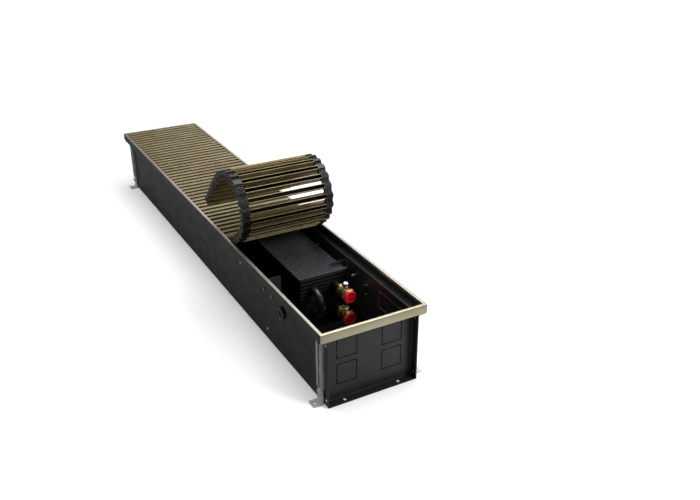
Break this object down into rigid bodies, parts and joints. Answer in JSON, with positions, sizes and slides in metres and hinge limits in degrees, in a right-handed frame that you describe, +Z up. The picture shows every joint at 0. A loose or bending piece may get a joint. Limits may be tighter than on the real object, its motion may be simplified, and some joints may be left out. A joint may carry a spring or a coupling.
{
  "type": "trench convector heater",
  "caption": "Trench convector heater in a black casing, with a roll-up slat grille rolled halfway back to show the finned exchanger, its connectors and the feet that level it.",
  "frame": {"origin": "on the floor under the middle of the casing, at the bottom centre of the bounding box", "axes": "+X along the trench towards the pipe connections, +Y across it towards the side with the heat exchanger, +Z up"},
  "size_m": [1.25, 0.232, 0.3146],
  "materials": {
    "casing_black": "satin black powder coat",
    "exchanger_black": "matt black coating",
    "frame_bronze": "light bronze anodised, satin",
    "slat_bronze": "light bronze anodised, satin",
    "black_plastic": "matt",
    "galvanised_steel": "zinc plated",
    "bright_steel": "bright zinc",
    "brass": "plain turned brass",
    "chrome": "polished",
    "red_plastic": "glossy red"
  },
  "bodies": {
    "casing": {"trough": "casing_black", "rim_left": "casing_black", "rim_right": "casing_black", "front_end_panel": "casing_black", "rear_end_panel": "casing_black", "frame_rail_left": "frame_bronze", "frame_rail_right": "frame_bronze", "frame_rail_front": "frame_bronze", "frame_rail_rear": "frame_bronze", "panel_rivets": "bright_steel", "wall_rivets": "bright_steel", "wall_screws": "bright_steel", "cable_covers": "black_plastic", "foot_bolts": "bright_steel", "foot_channel_front_left": "galvanised_steel", "foot_channel_front_right": "galvanised_steel", "foot_channel_rear_left": "galvanised_steel", "foot_channel_rear_right": "galvanised_steel", "fins": "exchanger_black", "end_fins": "exchanger_black", "core_tubes": "exchanger_black", "return_bends": "exchanger_black", "exchanger_bracket_front": "casing_black", "exchanger_bracket_rear": "casing_black", "supply_connector": "brass", "return_connector": "brass"},
    "grille": {"flat_slats": "slat_bronze", "flat_slat_ends": "black_plastic"},
    "link_01": {"link_01": "slat_bronze"},
    "link_02": {"link_02": "slat_bronze"},
    "link_03": {"link_03": "slat_bronze"},
    "link_04": {"link_04": "slat_bronze"},
    "link_05": {"link_05": "slat_bronze"},
    "link_06": {"link_06": "slat_bronze"},
    "link_07": {"link_07": "slat_bronze"},
    "link_08": {"link_08": "slat_bronze"},
    "link_09": {"link_09": "slat_bronze"},
    "link_10": {"link_10": "slat_bronze"},
    "link_11": {"link_11": "slat_bronze"},
    "link_12": {"link_12": "slat_bronze"},
    "link_13": {"link_13": "slat_bronze"},
    "link_14": {"link_14": "slat_bronze"},
    "link_15": {"link_15": "slat_bronze"},
    "link_16": {"link_16": "slat_bronze"},
    "link_17": {"link_17": "slat_bronze"},
    "link_18": {"link_18": "slat_bronze"},
    "link_19": {"link_19": "slat_bronze"},
    "link_20": {"link_20": "slat_bronze"},
    "link_21": {"link_21": "slat_bronze"},
    "link_22": {"link_22": "slat_bronze"},
    "foot_front_left": {"foot_front_left": "galvanised_steel"},
    "foot_front_right": {"foot_front_right": "galvanised_steel"},
    "foot_rear_left": {"foot_rear_left": "galvanised_steel"},
    "foot_rear_right": {"foot_rear_right": "galvanised_steel"},
    "air_vent": {"air_vent_screw": "chrome"},
    "drain": {"drain_plug": "brass"},
    "supply_cap": {"supply_cap": "red_plastic"},
    "return_cap": {"return_cap": "red_plastic"}
  },
  "joints": [
    {"name": "grille_lift", "type": "slide", "parent": "casing", "child": "grille", "axis": [0, 0, 1], "range_m": [0, 0.2]},
    {"name": "hinge_01", "type": "hinge", "parent": "grille", "child": "link_01", "pos_m": [0.18, 0, 0.1483], "axis": [0, 1, 0], "range_deg": [0, 23]},
    {"name": "hinge_02", "type": "hinge", "parent": "link_01", "child": "link_02", "pos_m": [0.19841, 0, 0.15611], "axis": [0, 1, 0], "range_deg": [0, 3]},
    {"name": "hinge_03", "type": "hinge", "parent": "link_02", "child": "link_03", "pos_m": [0.21639, 0, 0.16488], "axis": [0, 1, 0], "range_deg": [0, 5]},
    {"name": "hinge_04", "type": "hinge", "parent": "link_03", "child": "link_04", "pos_m": [0.23353, 0, 0.17518], "axis": [0, 1, 0], "range_deg": [0, 7]},
    {"name": "hinge_05", "type": "hinge", "parent": "link_04", "child": "link_05", "pos_m": [0.24929, 0, 0.1875], "axis": [0, 1, 0], "range_deg": [0, 10]},
    {"name": "hinge_06", "type": "hinge", "parent": "link_05", "child": "link_06", "pos_m": [0.26267, 0, 0.20236], "axis": [0, 1, 0], "range_deg": [0, 14]},
    {"name": "hinge_07", "type": "hinge", "parent": "link_06", "child": "link_07", "pos_m": [0.27206, 0, 0.22002], "axis": [0, 1, 0], "range_deg": [0, 19]},
    {"name": "hinge_08", "type": "hinge", "parent": "link_07", "child": "link_08", "pos_m": [0.27519, 0, 0.23977], "axis": [0, 1, 0], "range_deg": [0, 21]},
    {"name": "hinge_09", "type": "hinge", "parent": "link_08", "child": "link_09", "pos_m": [0.27103, 0, 0.25933], "axis": [0, 1, 0], "range_deg": [0, 18]},
    {"name": "hinge_10", "type": "hinge", "parent": "link_09", "child": "link_10", "pos_m": [0.26103, 0, 0.27666], "axis": [0, 1, 0], "range_deg": [0, 13]},
    {"name": "hinge_11", "type": "hinge", "parent": "link_10", "child": "link_11", "pos_m": [0.24739, 0, 0.29128], "axis": [0, 1, 0], "range_deg": [0, 15]},
    {"name": "hinge_12", "type": "hinge", "parent": "link_11", "child": "link_12", "pos_m": [0.23043, 0, 0.30188], "axis": [0, 1, 0], "range_deg": [0, 18]},
    {"name": "hinge_13", "type": "hinge", "parent": "link_12", "child": "link_13", "pos_m": [0.21103, 0, 0.30672], "axis": [0, 1, 0], "range_deg": [0, 17]},
    {"name": "hinge_14", "type": "hinge", "parent": "link_13", "child": "link_14", "pos_m": [0.19105, 0, 0.30567], "axis": [0, 1, 0], "range_deg": [0, 14]},
    {"name": "hinge_15", "type": "hinge", "parent": "link_14", "child": "link_15", "pos_m": [0.17193, 0, 0.29982], "axis": [0, 1, 0], "range_deg": [0, 10]},
    {"name": "hinge_16", "type": "hinge", "parent": "link_15", "child": "link_16", "pos_m": [0.15411, 0, 0.29075], "axis": [0, 1, 0], "range_deg": [0, 8]},
    {"name": "hinge_17", "type": "hinge", "parent": "link_16", "child": "link_17", "pos_m": [0.13772, 0, 0.27927], "axis": [0, 1, 0], "range_deg": [0, 6]},
    {"name": "hinge_18", "type": "hinge", "parent": "link_17", "child": "link_18", "pos_m": [0.12263, 0, 0.26615], "axis": [0, 1, 0], "range_deg": [0, 3]},
    {"name": "hinge_19", "type": "hinge", "parent": "link_18", "child": "link_19", "pos_m": [0.10824, 0, 0.25226], "axis": [0, 1, 0], "range_deg": [0, 2]},
    {"name": "hinge_20", "type": "hinge", "parent": "link_19", "child": "link_20", "pos_m": [0.09435, 0, 0.23787], "axis": [0, 1, 0], "range_deg": [0, 1]},
    {"name": "hinge_21", "type": "hinge", "parent": "link_20", "child": "link_21", "pos_m": [0.08071, 0, 0.22325], "axis": [0, 1, 0], "range_deg": [0, 1]},
    {"name": "hinge_22", "type": "hinge", "parent": "link_21", "child": "link_22", "pos_m": [0.06733, 0, 0.20838], "axis": [0, 1, 0], "range_deg": [0, 1]},
    {"name": "foot_front_left_height", "type": "slide", "parent": "casing", "child": "foot_front_left", "axis": [0, 0, -1], "range_m": [0, 0.03]},
    {"name": "foot_front_right_height", "type": "slide", "parent": "casing", "child": "foot_front_right", "axis": [0, 0, -1], "range_m": [0, 0.03]},
    {"name": "foot_rear_left_height", "type": "slide", "parent": "casing", "child": "foot_rear_left", "axis": [0, 0, -1], "range_m": [0, 0.03]},
    {"name": "foot_rear_right_height", "type": "slide", "parent": "casing", "child": "foot_rear_right", "axis": [0, 0, -1], "range_m": [0, 0.03]},
    {"name": "air_vent_turn", "type": "hinge", "parent": "casing", "child": "air_vent", "pos_m": [0.421, 0.053, 0.1145], "axis": [0, 0, 1], "range_deg": [0, 360]},
    {"name": "drain_plug_turn", "type": "hinge", "parent": "casing", "child": "drain", "pos_m": [0.421, 0.053, 0.0615], "axis": [0, 0, 1], "range_deg": [0, 360]},
    {"name": "supply_cap_pull", "type": "slide", "parent": "casing", "child": "supply_cap", "axis": [1, 0, 0], "range_m": [0, 0.03]},
    {"name": "return_cap_pull", "type": "slide", "parent": "casing", "child": "return_cap", "axis": [1, 0, 0], "range_m": [0, 0.03]}
  ]
}
